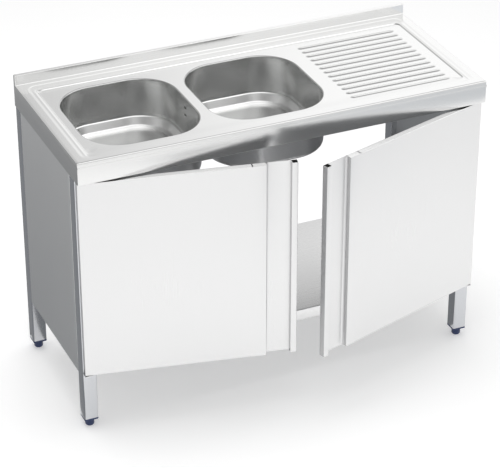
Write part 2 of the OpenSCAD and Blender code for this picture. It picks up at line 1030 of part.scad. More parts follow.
// Puts a door piece at its pivot, opened by the given angle, on the left side
module on_door(angle) {
  translate([-pivot_x, pivot_y, 0])
    rotate(-angle)
      translate([-pivot_u, -pivot_v, 0])
        children();
}

module on_left() {
  on_door(left_open)
    children();
}

module on_right() {
  mirror([1, 0, 0])
    on_door(right_open)
      children();
}

module to_left() {
  mirror([1, 0, 0])
    children();
}

sink_top();
bowl_left();
bowl_right();
waste_body_left();
waste_body_right();
waste_gaskets();
waste_nuts();
waste_basket(bowl_left_x);  // waste_basket_left
waste_basket(bowl_right_x);  // waste_basket_right
overflow_elbow();
overflow_pipe();
top_stiffener();
front_rail();
rear_rail();
rail_screws();
leg_tube(-leg_x, leg_front_y);  // leg_front_left
leg_tube(leg_x, leg_front_y);  // leg_front_right
leg_tube(-leg_x, leg_rear_y);  // leg_rear_left
leg_tube(leg_x, leg_rear_y);  // leg_rear_right
foot_insert(-leg_x, leg_front_y);  // foot_insert_front_left
foot_insert(leg_x, leg_front_y);  // foot_insert_front_right
foot_insert(-leg_x, leg_rear_y);  // foot_insert_rear_left
foot_insert(leg_x, leg_rear_y);  // foot_insert_rear_right
levelling_foot(-leg_x, leg_front_y);  // levelling_foot_front_left
levelling_foot(leg_x, leg_front_y);  // levelling_foot_front_right
levelling_foot(-leg_x, leg_rear_y);  // levelling_foot_rear_left
levelling_foot(leg_x, leg_rear_y);  // levelling_foot_rear_right
to_left() side_panel();  // side_panel_left
side_panel();  // side_panel_right
to_left() side_liner();  // side_liner_left
side_liner();  // side_liner_right
bottom_shelf();
shelf_stiffener();
shelf_screws();
to_left() pivot_bracket(bracket_top_z);  // pivot_bracket_top_left
pivot_bracket(bracket_top_z);  // pivot_bracket_top_right
to_left() pivot_bracket(bracket_bottom_z);  // pivot_bracket_bottom_left
pivot_bracket(bracket_bottom_z);  // pivot_bracket_bottom_right
to_left() pivot_pins();  // pivot_pins_left
pivot_pins();  // pivot_pins_right
on_left() door_skin();  // door_skin_left
on_left() door_liner();  // door_liner_left
on_left() door_tabs();  // door_tabs_left
on_left() pivot_bushes();  // pivot_bushes_left
on_left() strike_plate();  // strike_plate_left
on_right() door_skin();  // door_skin_right
on_right() door_liner();  // door_liner_right
on_right() door_tabs();  // door_tabs_right
on_right() pivot_bushes();  // pivot_bushes_right
on_right() strike_plate();  // strike_plate_right
to_left() catch();  // catch_left
catch();  // catch_right
catch_screws();
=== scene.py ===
"""A stainless steel sink cabinet: two pressed bowls and a ribbed drainer over a cupboard
with two ajar doors, on square legs with blue plastic feet. Sizes below are in millimetres,
the front faces -Y, and the floor is at z = 0 under the middle of the work surface."""
import bpy
import bmesh
import math
import numpy as np
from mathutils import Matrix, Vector


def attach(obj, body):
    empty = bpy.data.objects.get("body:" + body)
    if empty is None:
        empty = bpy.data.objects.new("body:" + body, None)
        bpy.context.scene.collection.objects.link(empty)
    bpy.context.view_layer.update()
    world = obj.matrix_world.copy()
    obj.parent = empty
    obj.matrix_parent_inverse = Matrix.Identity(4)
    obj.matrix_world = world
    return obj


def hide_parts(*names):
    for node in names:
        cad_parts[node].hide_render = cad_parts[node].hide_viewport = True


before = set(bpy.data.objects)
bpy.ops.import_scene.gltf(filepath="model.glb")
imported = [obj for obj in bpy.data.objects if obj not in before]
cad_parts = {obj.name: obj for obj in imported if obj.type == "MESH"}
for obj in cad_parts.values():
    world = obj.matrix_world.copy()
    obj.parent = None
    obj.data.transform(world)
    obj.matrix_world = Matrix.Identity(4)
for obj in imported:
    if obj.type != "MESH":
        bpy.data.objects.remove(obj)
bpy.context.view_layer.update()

# Studio
# A pale floor and a plain white surround, with one broad soft lamp overhead and one
# behind the camera. Grey cards that only the polished metal sees are painted reflections:
# they stand in for the dark side of a studio and, under the cabinet, for painted shade.
# The camera looks down from the left of the front.
scene = bpy.context.scene
scene.view_settings.view_transform = "Standard"
camera = bpy.data.objects.new("camera", bpy.data.cameras.new("camera"))
scene.collection.objects.link(camera)
camera.location = (-2.1520, -4.8520, 3.4370)
aim = Vector((0.0180, 0.0500, 0.3410)) - camera.location
camera.rotation_euler = aim.to_track_quat("-Z", "Y").to_euler()
camera.data.lens = 153.97
camera.data.sensor_width = 36.0
camera.data.clip_end = 100.0
scene.camera = camera


def node_tree(material):
    """A material's nodes, emptied, and its links."""
    material.use_nodes = True
    material.node_tree.nodes.clear()
    return material.node_tree.nodes, material.node_tree.links


def seen_by_eye_or_mirror(nodes, links, mirror=1.0):
    """1 for rays from the camera, mirror for rays that a shiny surface sends, 1 for rays
    through a clear one, else 0."""
    path = nodes.new("ShaderNodeLightPath")
    weaker = nodes.new("ShaderNodeMath")
    weaker.operation = "MULTIPLY"
    weaker.inputs[1].default_value = mirror
    links.new(path.outputs["Is Glossy Ray"], weaker.inputs[0])
    either = weaker.outputs[0]
    for name in ("Is Camera Ray", "Is Transmission Ray"):
        larger = nodes.new("ShaderNodeMath")
        larger.operation = "MAXIMUM"
        links.new(either, larger.inputs[0])
        links.new(path.outputs[name], larger.inputs[1])
        either = larger.outputs[0]
    return either


def flat_card(name, west, south, east, north, z, material):
    """A level rectangle of the studio, in metres."""
    mesh = bpy.data.meshes.new(name)
    corners = [(west, south, z), (east, south, z), (east, north, z), (west, north, z)]
    mesh.from_pydata(corners, [], [(0, 1, 2, 3)])
    card = bpy.data.objects.new(name, mesh)
    scene.collection.objects.link(card)
    mesh.materials.append(material)
    return card


floor_paint = bpy.data.materials.new("pale floor")
nodes, links = node_tree(floor_paint)
diffuse = nodes.new("ShaderNodeBsdfDiffuse")
diffuse.inputs["Color"].default_value = (0.80, 0.80, 0.80, 1)
glow = nodes.new("ShaderNodeEmission")
glow.inputs["Color"].default_value = (1, 1, 1, 1)
strength = nodes.new("ShaderNodeMath")
strength.operation = "MULTIPLY"
strength.inputs[1].default_value = 0.34
links.new(seen_by_eye_or_mirror(nodes, links, 1.30), strength.inputs[0])
links.new(strength.outputs[0], glow.inputs["Strength"])
both = nodes.new("ShaderNodeAddShader")
links.new(diffuse.outputs[0], both.inputs[0])
links.new(glow.outputs[0], both.inputs[1])
links.new(both.outputs[0], nodes.new("ShaderNodeOutputMaterial").inputs["Surface"])
flat_card("floor", -14, -14, 14, 14, 0, floor_paint)

# Each card's tone and its west, south, east and north edges. They lie just above the
# floor, and only rays from shiny surfaces see them: painted reflections, grey patches in
# what the metal mirrors, and the under card paints shade under the cabinet.
CARD_Z = 0.004
for name, tone, edges in (
    ("left card", 0.30, (-2.8, -0.36, -0.612, 2.6)),
    ("rear card", 0.24, (-0.612, 0.30, 1.3, 2.6)),
    ("under card", 0.25, (-0.55, -0.16, 0.55, 0.22)),
    ("gap card", 0.36, (0.25, -1.95, 0.85, -1.35)),
    ("front card", 0.74, (1.10, -3.6, 3.2, -1.30)),
):
    grey = bpy.data.materials.new(name)
    nodes, links = node_tree(grey)
    glow = nodes.new("ShaderNodeEmission")
    glow.inputs["Color"].default_value = (0.97 * tone, tone, 1.04 * tone, 1)
    links.new(glow.outputs[0], nodes.new("ShaderNodeOutputMaterial").inputs["Surface"])
    card = flat_card(name, *edges, CARD_Z, grey)
    card.visible_camera = card.visible_diffuse = card.visible_shadow = card.visible_transmission = False


def soft_change(source, start, end, low, high):
    """A value that goes softly from low to high while the source goes from start to end."""
    change = nodes.new("ShaderNodeMapRange")
    change.interpolation_type = "SMOOTHSTEP"
    for label, value in (("From Min", start), ("From Max", end), ("To Min", low), ("To Max", high)):
        change.inputs[label].default_value = value
    links.new(source, change.inputs["Value"])
    return change.outputs[0]


def tone_ramp(source, stops):
    """A ramp of greys along the source, through stops of (place from 0 to 1, tone)."""
    ramp = nodes.new("ShaderNodeValToRGB")
    while len(ramp.color_ramp.elements) < len(stops):
        ramp.color_ramp.elements.new(0.5)
    for stop, (place, tone) in zip(ramp.color_ramp.elements, stops):
        stop.position, stop.color = place, (tone, tone, tone, 1)
    links.new(source, ramp.inputs["Fac"])
    return ramp


world = bpy.data.worlds.new("studio")
scene.world = world
world.use_nodes = True
nodes, links = world.node_tree.nodes, world.node_tree.links
nodes.clear()
way = nodes.new("ShaderNodeTexCoord")
parts = nodes.new("ShaderNodeSeparateXYZ")
links.new(way.outputs["Generated"], parts.inputs[0])
# Shiny steel sees a surround that is told by the angle from the horizon behind the
# cabinet over the top to the horizon in front: white low down, dim from 45 to 75 degrees,
# and a bright canopy overhead and in front.
over = nodes.new("ShaderNodeMath")
over.operation = "ARCTAN2"
links.new(parts.outputs["Z"], over.inputs[0])
links.new(parts.outputs["Y"], over.inputs[1])
turned = nodes.new("ShaderNodeMath")
turned.operation = "MULTIPLY"
turned.inputs[1].default_value = 1 / math.pi
links.new(over.outputs[0], turned.inputs[0])
TONES_BY_ANGLE = (
    (0, 0.74), (16, 0.76), (24, 0.94), (32, 0.95), (39, 0.78), (48, 0.52), (56, 0.34), (70, 0.34),
    (79, 0.80), (90, 1.50), (118, 1.50), (138, 0.92), (180, 0.78))
height = tone_ramp(turned.outputs[0], [(degrees / 180, tone) for degrees, tone in TONES_BY_ANGLE])
# Behind, it gets greyer towards the left. In front it changes with how far to the side a
# ray goes, which runs from -0.5 on the left to 0.5 on the right.
sideways = nodes.new("ShaderNodeMath")
sideways.operation = "ADD"
sideways.inputs[1].default_value = 0.5
links.new(parts.outputs["X"], sideways.inputs[0])
FRONT_TONES = ((-0.50, 0.34), (-0.08, 1.0), (0.25, 0.85), (0.34, 1.18), (0.44, 1.0))
in_front = tone_ramp(sideways.outputs[0], [(side + 0.5, tone) for side, tone in FRONT_TONES])
in_front.color_ramp.interpolation = "EASE"
greyer = nodes.new("ShaderNodeMix")
links.new(soft_change(turned.outputs[0], 56 / 180, 76 / 180, 1.0, 0.0), greyer.inputs["Factor"])
links.new(in_front.outputs["Color"], greyer.inputs["A"])
links.new(soft_change(parts.outputs["X"], 0.22, 0.42, 0.64, 1.16), greyer.inputs["B"])
shade = nodes.new("ShaderNodeMath")
shade.operation = "MULTIPLY"
links.new(height.outputs["Color"], shade.inputs[0])
links.new(greyer.outputs["Result"], shade.inputs[1])
mirror_light = nodes.new("ShaderNodeBackground")
links.new(shade.outputs[0], mirror_light.inputs["Color"])
room_light = nodes.new("ShaderNodeBackground")
room_light.inputs["Color"].default_value = (1, 1, 1, 1)
room_light.inputs["Strength"].default_value = 0.56
white = nodes.new("ShaderNodeBackground")
white.inputs["Color"].default_value = (1, 1, 1, 1)
path = nodes.new("ShaderNodeLightPath")
shiny = nodes.new("ShaderNodeMixShader")
links.new(seen_by_eye_or_mirror(nodes, links), shiny.inputs[0])
links.new(room_light.outputs[0], shiny.inputs[1])
links.new(mirror_light.outputs[0], shiny.inputs[2])
backdrop = nodes.new("ShaderNodeMixShader")
links.new(path.outputs["Is Camera Ray"], backdrop.inputs[0])
links.new(shiny.outputs[0], backdrop.inputs[1])
links.new(white.outputs[0], backdrop.inputs[2])
links.new(backdrop.outputs[0], nodes.new("ShaderNodeOutputWorld").inputs["Surface"])

for name, place, target, size, power in (
    ("overhead lamp", (-0.2, 0.3, 3.4), (0.0, 0.0, 0.4), 2.6, 61.0),
    ("camera lamp", (-0.8, -4.6, 2.6), (0.0, 0.0, 0.4), 2.2, 29.0),
):
    lamp = bpy.data.objects.new(name, bpy.data.lights.new(name, "AREA"))
    lamp.data.size = size
    lamp.data.energy = power
    lamp.location = place
    lamp.rotation_euler = (Vector(target) - Vector(place)).to_track_quat("-Z", "Y").to_euler()
    lamp.visible_camera = lamp.visible_glossy = False
    scene.collection.objects.link(lamp)


# Worktop
# One sheet of 1.2 mm stainless steel. A press makes the shallow field inside its raised
# border and the drainer's ribs, and then a folding machine turns the front nose, the end
# skirts and the upstand along the back. It is bonded to the rails.
HALF, FRONT, BACK = 600.0, -250.0, 262.0
BORDER_Z, FIELD_Z, SKIRT_Z, UPSTAND_Z, UPSTAND_Y = 850.0, 847.0, 785.0, 879.0, 250.0
BOWL_X = {"left": -365.0, "right": 0.0}
BOWL_Y, BOWL_HALF_X, BOWL_HALF_Y, BOWL_CORNER, BOWL_LIP = -13.5, 165.0, 181.0, 111.0, 4.0


def bent(points, radius, steps=5):
    """A path in a plane through the given points, each inner corner rounded to its radius:
    the arc leaves the two edges at radius * tan(turn / 2) from the corner."""
    p = np.asarray(points, float)
    r = np.broadcast_to(radius, len(p))
    out = [p[:1]]
    for i in range(1, len(p) - 1):
        a = (p[i - 1] - p[i]) / np.linalg.norm(p[i - 1] - p[i])
        b = (p[i + 1] - p[i]) / np.linalg.norm(p[i + 1] - p[i])
        turn = math.pi - math.acos(np.clip(a @ b, -1, 1))
        if r[i] == 0 or turn < 1e-3:
            out.append(p[i : i + 1])
            continue
        reach = r[i] * math.tan(turn / 2)
        centre = p[i] + (a + b) / np.linalg.norm(a + b) * math.hypot(reach, r[i])
        u = p[i] + a * reach - centre
        v = p[i] + b * reach - centre
        k = np.linspace(0, 1, steps + 1)[:, None]
        out.append(centre + (np.sin((1 - k) * turn) * u + np.sin(k * turn) * v) / math.sin(turn))
    return np.concatenate(out + [p[-1:]])


def round_the_corners(half_a, half_b, corner, per_arc=20, per_side=6):
    """Points and outward directions round a rectangle with rounded corners: each corner's
    centre plus corner * direction, with per_arc steps on an arc and per_side on a side."""
    turn = np.linspace(0, math.pi / 2, per_arc + 1)
    points, ways = [], []
    for k, (sa, sb) in enumerate(((1, 1), (-1, 1), (-1, -1), (1, -1))):
        angle = turn + k * math.pi / 2
        way = np.stack([np.cos(angle), np.sin(angle)], 1)
        points.append(np.array([sa * (half_a - corner), sb * (half_b - corner)]) + corner * way)
        ways.append(way)
    all_points, all_ways = [], []
    for k in range(4):
        here, there = points[k], points[(k + 1) % 4]
        all_points.append(here)
        all_ways.append(ways[k])
        step = np.linspace(0, 1, per_side + 1)[1:-1, None]
        all_points.append(here[-1] + step * (there[0] - here[-1]))
        all_ways.append(np.repeat(ways[k][-1:], len(step), 0))
    return np.concatenate(all_points), np.concatenate(all_ways)


def carried_round(loop, profile):
    """A profile of (inset, height) carried round a loop: each point of the loop moves
    inwards by the inset and takes the height. The grid closes on itself."""
    points, ways = loop
    flat = points[:, None, :] - ways[:, None, :] * profile[None, :, :1]
    up = np.broadcast_to(profile[None, :, 1:], flat.shape[:2] + (1,))
    grid = np.concatenate([flat, up], 2)
    return np.concatenate([grid, grid[:1]])


def carried_along(profile, stations, order=(1, 2, 0)):
    """A profile in a plane carried straight along stations: point (p, q) at station s
    becomes (p, q, s), with its coordinates then put in the given order."""
    s = np.broadcast_to(np.asarray(stations, float)[:, None, None], (len(stations), len(profile), 1))
    p = np.broadcast_to(profile[None], (len(stations),) + profile.shape)
    return np.concatenate([p, s], 2)[:, :, list(np.argsort(order))]


def give_thickness(work, thick):
    """Gives a sheet its thickness: behind each point goes a twin, set back along the mean
    of the normals round it, the twins carry the back skin, and strips join the open edges."""
    work.normal_update()
    skin, rim = work.faces[:], [edge for edge in work.edges if edge.is_boundary]
    twin = {}
    for point in work.verts[:]:
        lean = sum(point.normal.dot(face.normal) for face in point.link_faces) / len(point.link_faces)
        twin[point] = work.verts.new(point.co - point.normal * (thick / max(lean, 0.6)))
    for face in skin:
        work.faces.new([twin[point] for point in reversed(face.verts)])
    for edge in rim:
        loop = edge.link_loops[0]
        a, b = loop.vert, loop.link_loop_next.vert
        work.faces.new((b, a, twin[a], twin[b]))


# Faces that meet at less than this angle are shaded as one
SMOOTH_BELOW = math.radians(32.0)


def sheet_piece(name, grids, outward, thick=0.0, caps=(), slots=(), finish=()):
    """A mesh from grids of points: neighbours in a grid make quads, grids that touch are
    welded, and the side at the point outward[0] faces the way outward[1]. caps are loops
    of points, each closed by one face. slots are boxes (low, high) in which the quads are
    left out. finish gives each grid's material slot. A thick sheet grows inwards from its
    face."""
    verts, faces, start, kinds = [], [], 0, []
    for number, grid in enumerate(grids):
        rows, columns = grid.shape[:2]
        i, j = np.meshgrid(np.arange(rows - 1), np.arange(columns - 1), indexing="ij")
        corner = (i * columns + j).ravel()
        quads = np.stack([corner, corner + columns, corner + columns + 1, corner + 1], 1)
        middles = grid.reshape(-1, 3)[quads].mean(1)
        for low, high in slots:
            kept = ~((middles > low) & (middles < high)).all(1)
            quads, middles = quads[kept], middles[kept]
        faces += (quads + start).tolist()
        kinds += [finish[number] if finish else 0] * len(quads)
        verts.append(grid.reshape(-1, 3))
        start += rows * columns
    for cap in caps:
        faces.append(list(range(start, start + len(cap))))
        verts.append(cap)
        start += len(cap)
    mesh = bpy.data.meshes.new(name)
    mesh.from_pydata((np.concatenate(verts) / 1000).tolist(), [], faces)
    mesh.polygons.foreach_set("material_index", np.array(kinds + [0] * len(caps), np.int32))
    work = bmesh.new()
    work.from_mesh(mesh)
    bmesh.ops.remove_doubles(work, verts=work.verts, dist=2e-6)
    bmesh.ops.dissolve_degenerate(work, edges=work.edges, dist=1e-7)
    bmesh.ops.recalc_face_normals(work, faces=work.faces)
    spot = Vector(outward[0]) / 1000
    nearest = min(work.faces, key=lambda face: (face.calc_center_median() - spot).length_squared)
    if nearest.normal.dot(Vector(outward[1])) < 0:
        bmesh.ops.reverse_faces(work, faces=work.faces)
    if thick:
        give_thickness(work, thick / 1000)
    work.to_mesh(mesh)
    work.free()
    mesh.shade_smooth()
    mesh.set_sharp_from_angle(angle=SMOOTH_BELOW)
    piece = bpy.data.objects.new(name, mesh)
    scene.collection.objects.link(piece)
    return piece


# How gently a pressed ramp begins and ends, as a share of its width
SOFTNESS = 0.16


def pressed_step(x, y, half_x, ends, corners, side_width, end_widths):
    """0 outside a rounded outline and 1 inside it. The change runs inwards from the outline
    as a soft ramp, over the side_width that goes over into the end_widths where the outline
    turns, so that the line curls in at the front corners and dies out. The ends, their
    corner radii and their widths are given as (front, back)."""
    corner = np.where(y < 0, *corners)
    across = np.abs(x) - (half_x - corner)
    along = np.where(y < 0, ends[0] + corner - y, y - ends[1] + corner)
    far = np.hypot(np.maximum(across, 0), np.maximum(along, 0))
    inside = corner - far - np.minimum(np.maximum(across, along), 0)
    turn = np.where(far > 0, np.maximum(along, 0) / np.maximum(far, 1e-9), along > across)
    reach = side_width + (np.where(y < 0, *end_widths) - side_width) * turn**2
    t = inside / reach
    low_bend, high_bend = [(u + np.sqrt(u * u + SOFTNESS**2)) / 2 for u in (t, t - 1.0)]
    return np.clip(low_bend - high_bend, 0, 1)


RIB_X, RIB_HALF, RIB_PITCH, RIB_COUNT, RIB_W, RIB_H, RIB_TAPER = 368.0, 154.0, 28.4, 13, 14.0, 1.6, 12.0
# Each pressed line's drop, then its outline: half width, ends, corners and ramp widths
PRESSED_LINES = (
    (0.6, (577.0, (-240.0, 231.0), (34.0, 28.0), 8.0, (32.0, 3.5))),
    (0.6, (563.0, (-240.0, 213.0), (30.0, 22.0), 5.0, (32.0, 12.0))),
    (1.8, (556.0, (-210.0, 199.0), (20.0, 16.0), 2.4, (32.0, 2.0))))


def worktop_height(x, y):
    """The pressed top face: the border's height less a shallow step at the outer outline, a
    softer one inside it and a steep one beside the field, plus the ribs. A rib is an arc of
    a circle over the distance from its middle line, and its ends run down to a point in plan."""
    z = BORDER_Z - sum(drop * pressed_step(x, y, *outline) for drop, outline in PRESSED_LINES)
    row = np.clip(np.round((y - BOWL_Y) / RIB_PITCH), -(RIB_COUNT // 2), RIB_COUNT // 2)
    side = y - BOWL_Y - row * RIB_PITCH
    end = np.maximum(np.abs(x - RIB_X) - (RIB_HALF - RIB_TAPER), 0) * (RIB_W / 2) / RIB_TAPER
    arc = (RIB_W**2 / 4 + RIB_H**2) / (2 * RIB_H)
    rib = np.sqrt(np.maximum(arc**2 - side**2 - end**2, 0)) - (arc - RIB_H)
    return z + np.maximum(rib, 0) * (np.abs(x - RIB_X) < RIB_HALF + 1)


def top_grid(x, y):
    """The top face over a grid of places."""
    return np.stack([x, y, worktop_height(x, y)], 2)


# The grids' lines stand close where the top is pressed and far apart where it is flat.
# The level part ends END_BEND short of each end, which is the radius of the bend there.
END_BEND, TOP_FRONT, TOP_BACK = 1.2, -240.0, 246.0
PATCH_Y = (-207.0, 183.0)
PATCH_X = {"left": (-551.0, -182.5), "right": (-182.5, 182.5)}
west_x = np.concatenate([np.linspace(-HALF + END_BEND, -580, 4), np.linspace(-579, PATCH_X["left"][0], 29)])
patch_x = {side: np.linspace(*ends, 33) for side, ends in PATCH_X.items()}
east_x = np.concatenate([
    np.linspace(PATCH_X["right"][1], 206, 4), np.linspace(210, 232, 18), np.linspace(246, 490, 9),
    np.linspace(504, 526, 18), np.linspace(534, 550, 4), np.linspace(551, 579, 29),
    np.linspace(580, HALF - END_BEND, 4)])
front_y = np.linspace(TOP_FRONT, PATCH_Y[0], 18)
back_y = np.concatenate([
    np.linspace(PATCH_Y[1], 195, 5), np.arange(195.3, 203, 0.35), np.linspace(203.5, TOP_BACK, 36)])
coarse_y, fine_y = np.linspace(*PATCH_Y, 37), np.linspace(*PATCH_Y, 236)
stations = np.concatenate([west_x[:-1], patch_x["left"][:-1], patch_x["right"][:-1], east_x])
top_grids = [top_grid(*np.meshgrid(stations, y, indexing="ij")) for y in (front_y, back_y)]
top_grids.append(top_grid(*np.meshgrid(west_x, coarse_y, indexing="ij")))
top_grids.append(top_grid(*np.meshgrid(east_x, fine_y, indexing="ij")))
for side, (west, east) in PATCH_X.items():
    # Round each bowl a patch runs from the rim out to a rectangle. A place on the
    # rectangle looks at the rim straight across, or towards a corner at the angle whose
    # tangent is its share of the way from the rim's straight part to the corner.
    xs, ys = patch_x[side], coarse_y
    right_ys = fine_y if side == "right" else coarse_y
    ring = np.concatenate([
        np.stack([np.full(len(right_ys), east), right_ys], 1)[:-1],
        np.stack([xs[::-1], np.full(len(xs), PATCH_Y[1])], 1)[:-1],
        np.stack([np.full(len(ys), west), ys[::-1]], 1)[:-1],
        np.stack([xs, np.full(len(xs), PATCH_Y[0])], 1)]) - (BOWL_X[side], BOWL_Y)
    corner = BOWL_CORNER + BOWL_LIP
    straight = np.array([BOWL_HALF_X, BOWL_HALF_Y]) - BOWL_CORNER
    limit = np.where(ring > 0, [east - BOWL_X[side], PATCH_Y[1] - BOWL_Y],
                     [BOWL_X[side] - west, BOWL_Y - PATCH_Y[0]])
    lean = np.maximum(np.abs(ring) - straight, 0) / (limit - straight)
    angle = np.where(lean[:, 0] > lean[:, 1], np.arctan(lean[:, 1] / np.maximum(lean[:, 0], 1e-9)),
                     math.pi / 2 - np.arctan(lean[:, 0] / np.maximum(lean[:, 1], 1e-9)))
    way = np.stack([np.cos(angle), np.sin(angle)], 1) * np.sign(ring)
    rim = np.clip(ring, -straight, straight) + corner * way
    step = np.linspace(0, 1, 5)[None, :, None]
    flat = rim[:, None] * (1 - step) + ring[:, None] * step + (BOWL_X[side], BOWL_Y)
    top_grids.append(top_grid(flat[..., 0], flat[..., 1]))

# The nose is rolled down to a fine ledge, 1 mm behind the skirt below it
LEDGE_Y, LEDGE_Z, HEM, BACK_LOW = FRONT + 1.0, 836.5, 12.0, 820.0
nose = bent(
    [(TOP_FRONT, BORDER_Z), (LEDGE_Y + 0.1, BORDER_Z), (LEDGE_Y, LEDGE_Z), (FRONT, LEDGE_Z - 0.1),
     (FRONT, SKIRT_Z), (FRONT + HEM, SKIRT_Z)],
    [0, 4.5, 0.2, 0.2, 1.5, 0], 4)
upstand = bent(
    [(TOP_BACK - 1e-3, BORDER_Z), (UPSTAND_Y, BORDER_Z), (UPSTAND_Y, UPSTAND_Z), (BACK, UPSTAND_Z),
     (BACK, BACK_LOW)],
    [0, 1.2, 1.5, 1.5, 0], 5)
upstand[0, 0] = TOP_BACK
top_grids.append(carried_along(nose, stations))
top_grids.append(carried_along(upstand, stations))
caps = []
for side, middle_y in ((-1, coarse_y), (1, fine_y)):
    # The end skirt: a quarter round along the top's outline, then one flat face
    inner_y = np.concatenate([front_y, middle_y[1:-1], back_y])
    level = np.stack([inner_y, np.full(len(inner_y), BORDER_Z)], 1)
    outline = np.concatenate([nose[-2::-1], level[1:-1], upstand])
    along = np.gradient(outline, axis=0)
    normal = np.stack([-along[:, 1], along[:, 0]], 1)
    normal /= np.linalg.norm(normal, axis=1)[:, None]
    turn = np.linspace(0, math.pi / 2, 5)[None, :, None]
    flat = outline[:, None] - normal[:, None] * END_BEND * (1 - np.cos(turn))
    out = np.broadcast_to(side * (HALF - END_BEND + END_BEND * np.sin(turn)), flat.shape[:2] + (1,))
    bend = np.concatenate([out, flat], 2)
    top_grids.append(bend)
    caps.append(np.concatenate([bend[:, -1], [(side * HALF, BACK - END_BEND, SKIRT_Z)]]))
worktop = sheet_piece("worktop", top_grids, ((-575, 0, BORDER_Z), (0, 0, 1)), 1.2, caps)
# The end skirts and the back (material 1), the upstand (2) and the front skirt (3)
# take copies of the top's steel with their own roughness; their colours are painted
# shade, darker on the skirts and the back, and painted light, lighter on the upstand.
middles = np.empty(3 * len(worktop.data.polygons))
worktop.data.polygons.foreach_get("center", middles)
middles = middles.reshape(-1, 3)
end_or_back = (np.abs(middles[:, 0]) > 0.5995) | (middles[:, 1] > 0.2618)
finish = np.select([end_or_back, middles[:, 1] > 0.2465, middles[:, 1] < -0.2455], [1, 2, 3], 0)
worktop.data.polygons.foreach_set("material_index", finish.astype(np.int32))
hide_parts("sink_top")
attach(worktop, "cabinet")


def brushed_group():
    """Steel with the fine parallel scratches of a satin finish and a faint cloudiness.
    Scratches are noise drawn out along one axis by the vector's scale; clouds are slow
    noise. Both shift the colour, the roughness and the height a little."""
    group = bpy.data.node_groups.new("brushed steel", "ShaderNodeTree")
    for label, kind in (("Scratch Vector", "NodeSocketVector"), ("Cloud Vector", "NodeSocketVector"),
                        ("Colour", "NodeSocketColor"), ("Streak", "NodeSocketFloat"),
                        ("Roughness", "NodeSocketFloat"), ("Roughness Spread", "NodeSocketFloat")):
        group.interface.new_socket(name=label, in_out="INPUT", socket_type=kind)
    for label, kind in (("Colour", "NodeSocketColor"), ("Roughness", "NodeSocketFloat"),
                        ("Height", "NodeSocketFloat")):
        group.interface.new_socket(name=label, in_out="OUTPUT", socket_type=kind)
    nodes, links = group.nodes, group.links
    given, put = nodes.new("NodeGroupInput"), nodes.new("NodeGroupOutput")
    scratch = nodes.new("ShaderNodeTexNoise")
    scratch.inputs["Scale"].default_value = 1.0
    scratch.inputs["Detail"].default_value = 4.0
    scratch.inputs["Roughness"].default_value = 0.65
    links.new(given.outputs["Scratch Vector"], scratch.inputs["Vector"])
    cloud = nodes.new("ShaderNodeTexNoise")
    cloud.inputs["Scale"].default_value = 3.0
    cloud.inputs["Detail"].default_value = 3.0
    links.new(given.outputs["Cloud Vector"], cloud.inputs["Vector"])
    total = nodes.new("ShaderNodeMath")
    total.operation = "ADD"
    links.new(scratch.outputs["Fac"], total.inputs[0])
    links.new(cloud.outputs["Fac"], total.inputs[1])
    offset = nodes.new("ShaderNodeMath")
    offset.operation = "SUBTRACT"
    links.new(total.outputs[0], offset.inputs[0])
    offset.inputs[1].default_value = 1.0
    tone = nodes.new("ShaderNodeMath")
    tone.operation = "MULTIPLY_ADD"
    links.new(offset.outputs[0], tone.inputs[0])
    links.new(given.outputs["Streak"], tone.inputs[1])
    tone.inputs[2].default_value = 1.0
    tinted = nodes.new("ShaderNodeVectorMath")
    tinted.operation = "SCALE"
    links.new(given.outputs["Colour"], tinted.inputs[0])
    links.new(tone.outputs[0], tinted.inputs["Scale"])
    links.new(tinted.outputs[0], put.inputs["Colour"])
    rough = nodes.new("ShaderNodeMath")
    rough.operation = "MULTIPLY_ADD"
    links.new(offset.outputs[0], rough.inputs[0])
    links.new(given.outputs["Roughness Spread"], rough.inputs[1])
    links.new(given.outputs["Roughness"], rough.inputs[2])
    links.new(rough.outputs[0], put.inputs["Roughness"])
    links.new(scratch.outputs["Fac"], put.inputs["Height"])
    return group


BRUSHED = brushed_group()


def brushed_steel(name, colour, rough, grain, streak=0.05, spread=0.10, bump=0.02):
    """A satin steel whose scratches run along the axis with the small number in grain,
    where the numbers are scratches per metre along x, y and z."""
    material = bpy.data.materials.new(name)
    nodes, links = node_tree(material)
    place = nodes.new("ShaderNodeTexCoord")
    drawn = nodes.new("ShaderNodeMapping")
    drawn.inputs["Scale"].default_value = grain
    links.new(place.outputs["Object"], drawn.inputs["Vector"])
    finish = nodes.new("ShaderNodeGroup")
    finish.node_tree = BRUSHED
    links.new(drawn.outputs[0], finish.inputs["Scratch Vector"])
    links.new(place.outputs["Object"], finish.inputs["Cloud Vector"])
    finish.inputs["Colour"].default_value = (*colour, 1)
    finish.inputs["Streak"].default_value = streak
    finish.inputs["Roughness"].default_value = rough
    finish.inputs["Roughness Spread"].default_value = spread
    relief = nodes.new("ShaderNodeBump")
    relief.inputs["Strength"].default_value = bump
    relief.inputs["Distance"].default_value = 0.0005
    links.new(finish.outputs["Height"], relief.inputs["Height"])
    shader = nodes.new("ShaderNodeBsdfPrincipled")
    shader.inputs["Metallic"].default_value = 1.0
    links.new(finish.outputs["Colour"], shader.inputs["Base Color"])
    links.new(finish.outputs["Roughness"], shader.inputs["Roughness"])
    links.new(relief.outputs[0], shader.inputs["Normal"])
    links.new(shader.outputs[0], nodes.new("ShaderNodeOutputMaterial").inputs["Surface"])
    return material


# The top's own steel, then darker copies as painted shade on the end skirts and the front skirt, and a
# lighter copy as painted light on the upstand
for name, colour, rough, spread in (
    ("worktop steel", (0.90, 0.90, 0.895), 0.15, 0.06),
    ("end skirt steel painted shade", (0.60, 0.60, 0.595), 0.45, 0.05),
    ("upstand steel painted light", (0.93, 0.93, 0.925), 0.16, 0.05),
    ("front skirt steel painted shade", (0.76, 0.76, 0.755), 0.23, 0.05),
):
    worktop.data.materials.append(brushed_steel(name, colour, rough, (6, 900, 900), 0.03, spread, 0.01))


